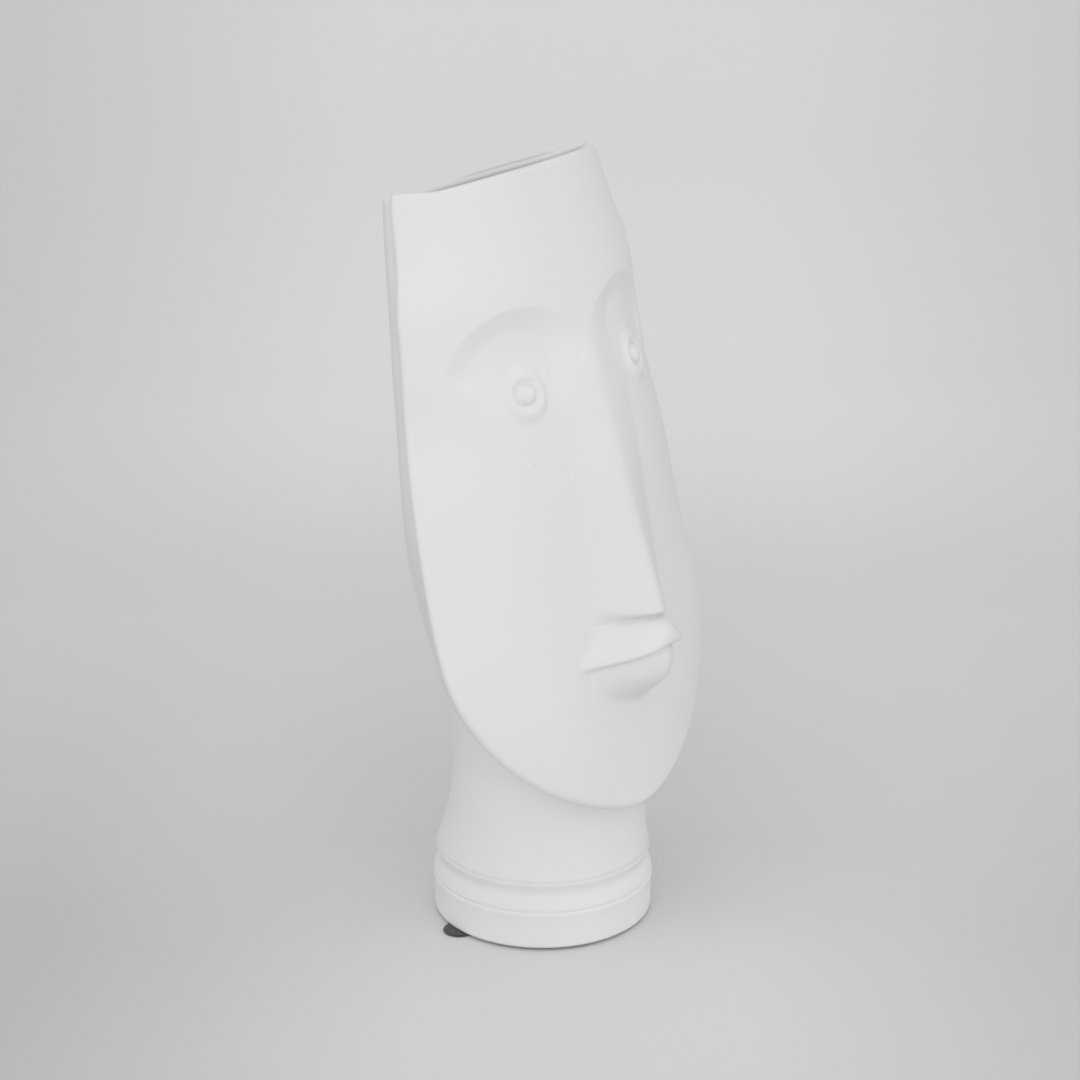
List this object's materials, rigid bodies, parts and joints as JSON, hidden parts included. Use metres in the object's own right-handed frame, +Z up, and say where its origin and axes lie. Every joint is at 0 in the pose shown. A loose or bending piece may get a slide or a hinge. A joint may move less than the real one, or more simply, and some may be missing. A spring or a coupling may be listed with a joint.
{
  "type": "face vase",
  "caption": "Tall hollow ceramic vase: a long stylised face leaning back in front of a flared body, with a slanted open top, a ringed neck and small felt pads under the foot.",
  "frame": {"origin": "middle of the footprint at the bottom of the felt pads, on the surface the vase stands on", "axes": "+Z up, the face looks along -Y and its left cheek is on +X, the vase is symmetric about X = 0 apart from its pads; the axis of the foot and neck is at Y = +8 mm"},
  "size_m": [0.15, 0.1024, 0.2917],
  "materials": {
    "ceramic": "matt white slip-cast stoneware, fine even surface, no gloss",
    "felt": "dark grey pressed felt"
  },
  "bodies": {
    "root": {"vase_body": "ceramic", "felt_pad_1": "felt", "felt_pad_2": "felt", "felt_pad_3": "felt", "felt_pad_4": "felt"}
  },
  "joints": []
}
